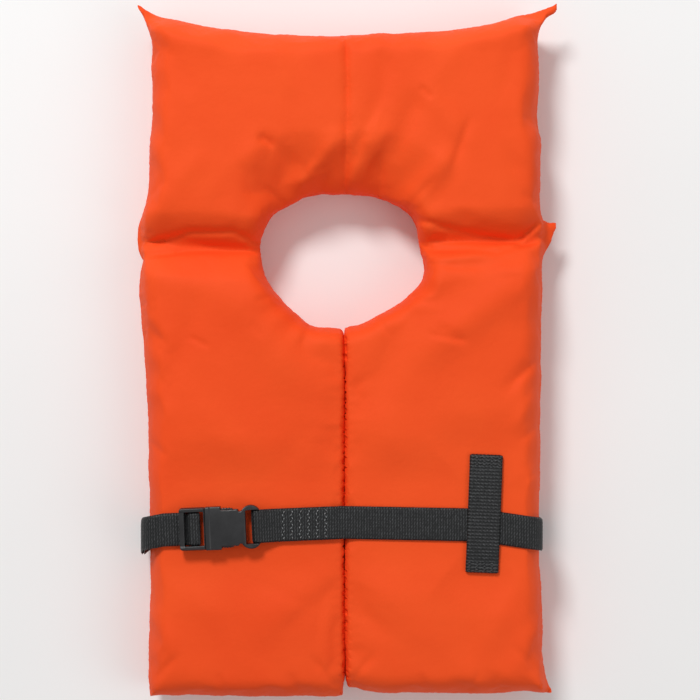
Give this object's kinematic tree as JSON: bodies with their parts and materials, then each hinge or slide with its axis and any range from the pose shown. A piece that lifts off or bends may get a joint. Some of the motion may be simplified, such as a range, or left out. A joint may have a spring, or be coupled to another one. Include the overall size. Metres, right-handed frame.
{
  "type": "life jacket",
  "caption": "Keyhole life jacket of foam-filled nylon pads, split down the front, with a webbing belt, side-release buckle and keeper tab.",
  "frame": {"origin": "centre of the bounding box in X and Y, on the ground plane below the jacket's back", "axes": "+X to the right of someone looking at the front, +Y from hem to collar, +Z out of the front face"},
  "size_m": [0.326, 0.534, 0.0718],
  "materials": {
    "cover_nylon": "orange coated nylon, plain weave, soft sheen",
    "pad_foam": "off-white closed-cell foam, matt",
    "belt_web": "black ribbed polypropylene webbing",
    "keeper_web": "black ribbed polypropylene webbing",
    "belt_thread": "grey-flecked sewing thread",
    "keeper_thread": "black sewing thread",
    "buckle_plastic": "black moulded acetal, fine satin"
  },
  "bodies": {
    "front_panels": {"panel_cover_front_left": "cover_nylon", "panel_cover_front_right": "cover_nylon", "panel_cover_back_left": "cover_nylon", "panel_cover_back_right": "cover_nylon", "left_foam_inner": "pad_foam", "left_foam_middle": "pad_foam", "left_foam_outer": "pad_foam", "right_foam_inner": "pad_foam", "right_foam_middle": "pad_foam", "right_foam_outer": "pad_foam", "keeper_tab": "keeper_web", "keeper_tacks": "keeper_thread"},
    "collar": {"collar_cover_front_left": "cover_nylon", "collar_cover_front_right": "cover_nylon", "collar_cover_back_left": "cover_nylon", "collar_cover_back_right": "cover_nylon", "collar_foam_inner": "pad_foam", "collar_foam_middle": "pad_foam", "collar_foam_outer": "pad_foam"},
    "belt": {"belt_webbing": "belt_web", "belt_front_run": "belt_web", "belt_tail": "belt_web", "belt_box_stitch": "belt_thread", "buckle_male": "buckle_plastic"},
    "arm_upper": {"buckle_arm_upper": "buckle_plastic"},
    "arm_lower": {"buckle_arm_lower": "buckle_plastic"},
    "buckle_socket": {"buckle_female": "buckle_plastic"}
  },
  "joints": [
    {"name": "shoulder_fold", "type": "hinge", "parent": "front_panels", "child": "collar", "pos_m": [0, 0.08, 0.028], "axis": [1, 0, 0], "range_deg": [0, 60]},
    {"name": "belt_ride", "type": "slide", "parent": "front_panels", "child": "belt", "axis": [0, 1, 0], "range_m": [-0.008, 0.015]},
    {"name": "buckle_release", "type": "slide", "parent": "belt", "child": "buckle_socket", "axis": [0.9991, 0.0419, 0], "range_m": [0, 0.03], "deforming": ["belt_front_run", "belt_box_stitch", "buckle_arm_upper", "buckle_arm_lower"]},
    {"name": "press_upper", "type": "hinge", "parent": "belt", "child": "arm_upper", "pos_m": [-0.10305, -0.12602, 0.06665], "axis": [0, 0, -1], "range_deg": [0, 8], "stiffness_Nm_per_rad": 0.5},
    {"name": "press_lower", "type": "hinge", "parent": "belt", "child": "arm_lower", "pos_m": [-0.10214, -0.1478, 0.06665], "axis": [0, 0, 1], "range_deg": [0, 8], "stiffness_Nm_per_rad": 0.5}
  ]
}
